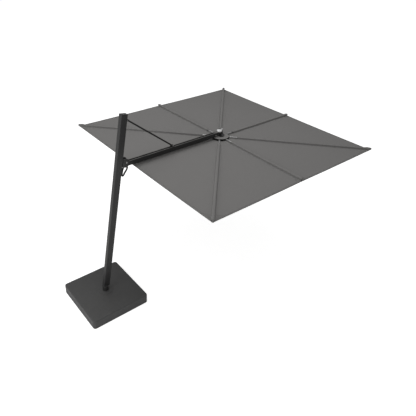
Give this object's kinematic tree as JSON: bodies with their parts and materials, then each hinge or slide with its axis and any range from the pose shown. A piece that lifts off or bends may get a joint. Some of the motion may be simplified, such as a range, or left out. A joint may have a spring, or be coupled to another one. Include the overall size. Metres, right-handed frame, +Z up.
{
  "type": "cantilever parasol",
  "caption": "Square cantilever parasol: leaning mast on a square ballasted base, carriage, arm and strut, with ribs on top of a flat canopy.",
  "frame": {"origin": "middle of the base plate's underside, on the floor and on the mast's turning axis", "axes": "+X from the mast to the canopy, +Y along the canopy's side, +Z up"},
  "size_m": [3.9958, 3.0216, 2.7943],
  "materials": {
    "powder_coat": "satin",
    "aluminium_arm": "satin",
    "cover_coat": "matte",
    "aluminium_frame": "satin",
    "steel": "brushed",
    "silver": "satin",
    "concrete": "matte",
    "plastic": "matte",
    "cloth": "matte"
  },
  "bodies": {
    "base": {"base_cover": "cover_coat", "base_plate": "steel", "ballast_slab_1": "concrete", "ballast_slab_2": "concrete", "ballast_slab_3": "concrete", "ballast_slab_4": "concrete", "base_spigot": "steel", "cover_rosette": "cover_coat"},
    "mast": {"mast_profile": "aluminium_frame", "mast_cap": "plastic", "mast_socket": "aluminium_frame", "strut_bracket": "powder_coat", "strut_head_pin": "steel"},
    "carriage": {"carriage_bracket": "aluminium_frame", "carriage_glide": "plastic", "arm_pivot_bolt": "steel", "pivot_cap_left": "silver", "pivot_cap_right": "silver", "handle_pin": "steel"},
    "handle": {"handle_loop": "powder_coat"},
    "arm": {"arm_beam": "aluminium_arm", "arm_root": "aluminium_arm", "arm_head": "aluminium_arm", "head_cap": "silver", "hub_tilt_pin": "steel", "strut_lug_left": "aluminium_arm", "strut_lug_right": "aluminium_arm", "strut_foot_bolt_left": "steel", "strut_foot_bolt_right": "steel"},
    "lock_pin": {"lock_pin": "silver"},
    "strut": {"strut_bar": "aluminium_arm"},
    "hub": {"hub_body": "aluminium_frame", "rib_ring": "aluminium_frame", "rib_ring_wire": "steel", "hub_nut": "plastic", "vent_cap": "cloth"},
    "rib_1_body": {"rib_1": "aluminium_frame", "rib_tip_1": "plastic", "canopy_panel_1": "cloth"},
    "rib_2_body": {"rib_2": "aluminium_frame", "rib_tip_2": "plastic", "canopy_panel_2": "cloth"},
    "rib_3_body": {"rib_3": "aluminium_frame", "rib_tip_3": "plastic", "canopy_panel_3": "cloth"},
    "rib_4_body": {"rib_4": "aluminium_frame", "rib_tip_4": "plastic", "canopy_panel_4": "cloth"},
    "rib_5_body": {"rib_5": "aluminium_frame", "rib_tip_5": "plastic", "canopy_panel_5": "cloth"},
    "rib_6_body": {"rib_6": "aluminium_frame", "rib_tip_6": "plastic", "canopy_panel_6": "cloth"},
    "rib_7_body": {"rib_7": "aluminium_frame", "rib_tip_7": "plastic", "canopy_panel_7": "cloth"},
    "rib_8_body": {"rib_8": "aluminium_frame", "rib_tip_8": "plastic", "canopy_panel_8": "cloth"}
  },
  "joints": [
    {"name": "mast_turn", "type": "hinge", "parent": "base", "child": "mast", "pos_m": [0, 0, 0.15], "axis": [0, 0, 1], "continuous": true},
    {"name": "carriage_slide", "type": "slide", "parent": "mast", "child": "carriage", "axis": [-0.1513, 0, -0.9885], "range_m": [0, 0.57]},
    {"name": "handle_swing", "type": "hinge", "parent": "carriage", "child": "handle", "pos_m": [0.3876, 0, 2.10122], "axis": [0, -1, 0], "range_deg": [0, 10], "stiffness_Nm_per_rad": 0.4, "springref_deg": -45.84},
    {"name": "arm_lift", "type": "hinge", "parent": "carriage", "child": "arm", "pos_m": [0.40824, 0, 2.15674], "axis": [0, -1, 0], "range_deg": [0, 30]},
    {"name": "lock_pin_pull", "type": "slide", "parent": "arm", "child": "lock_pin", "axis": [0, 0, 1], "range_m": [0, 0.01], "stiffness_N_per_m": 300, "springref_m": -0.004},
    {"name": "strut_swing", "type": "hinge", "parent": "mast", "child": "strut", "pos_m": [0.45305, 0, 2.70082], "axis": [0, 1, 0], "range_deg": [0, 18]},
    {"name": "hub_tilt", "type": "hinge", "parent": "arm", "child": "hub", "pos_m": [2.036, 0, 2.138], "axis": [0, 1, 0], "range_deg": [0, 30.5], "deforming": ["vent_cap"]},
    {"name": "rib_1_fold", "type": "hinge", "parent": "hub", "child": "rib_1_body", "pos_m": [2.081, 0, 2.0745], "axis": [0, 1, 0], "range_deg": [0, 84], "deforming": ["canopy_panel_1"]},
    {"name": "rib_2_fold", "type": "hinge", "parent": "hub", "child": "rib_2_body", "pos_m": [2.06782, 0.03182, 2.0745], "axis": [-0.7071, 0.7071, 0], "range_deg": [0, 84], "deforming": ["canopy_panel_2"]},
    {"name": "rib_3_fold", "type": "hinge", "parent": "hub", "child": "rib_3_body", "pos_m": [2.036, 0.045, 2.0745], "axis": [-1, 0, 0], "range_deg": [0, 84], "deforming": ["canopy_panel_3"]},
    {"name": "rib_4_fold", "type": "hinge", "parent": "hub", "child": "rib_4_body", "pos_m": [2.00418, 0.03182, 2.0745], "axis": [-0.7071, -0.7071, 0], "range_deg": [0, 84], "deforming": ["canopy_panel_4"]},
    {"name": "rib_5_fold", "type": "hinge", "parent": "hub", "child": "rib_5_body", "pos_m": [1.991, 0, 2.0745], "axis": [0, -1, 0], "range_deg": [0, 84], "deforming": ["canopy_panel_5"]},
    {"name": "rib_6_fold", "type": "hinge", "parent": "hub", "child": "rib_6_body", "pos_m": [2.00418, -0.03182, 2.0745], "axis": [0.7071, -0.7071, 0], "range_deg": [0, 84], "deforming": ["canopy_panel_6"]},
    {"name": "rib_7_fold", "type": "hinge", "parent": "hub", "child": "rib_7_body", "pos_m": [2.036, -0.045, 2.0745], "axis": [1, 0, 0], "range_deg": [0, 84], "deforming": ["canopy_panel_7"]},
    {"name": "rib_8_fold", "type": "hinge", "parent": "hub", "child": "rib_8_body", "pos_m": [2.06782, -0.03182, 2.0745], "axis": [0.7071, 0.7071, 0], "range_deg": [0, 84], "deforming": ["canopy_panel_8"]}
  ],
  "couplings": [
    {"joint": "carriage_slide", "follows": "arm_lift", "m_per_rad": 1.0804},
    {"joint": "strut_swing", "follows": "arm_lift", "ratio": 0.588},
    {"joint": "hub_tilt", "follows": "arm_lift", "ratio": 1},
    {"joint": "rib_1_fold", "follows": "arm_lift", "ratio": 2.7667},
    {"joint": "rib_2_fold", "follows": "arm_lift", "ratio": 2.7667},
    {"joint": "rib_3_fold", "follows": "arm_lift", "ratio": 2.7667},
    {"joint": "rib_4_fold", "follows": "arm_lift", "ratio": 2.7667},
    {"joint": "rib_5_fold", "follows": "arm_lift", "ratio": 2.7667},
    {"joint": "rib_6_fold", "follows": "arm_lift", "ratio": 2.7667},
    {"joint": "rib_7_fold", "follows": "arm_lift", "ratio": 2.7667},
    {"joint": "rib_8_fold", "follows": "arm_lift", "ratio": 2.7667}
  ]
}
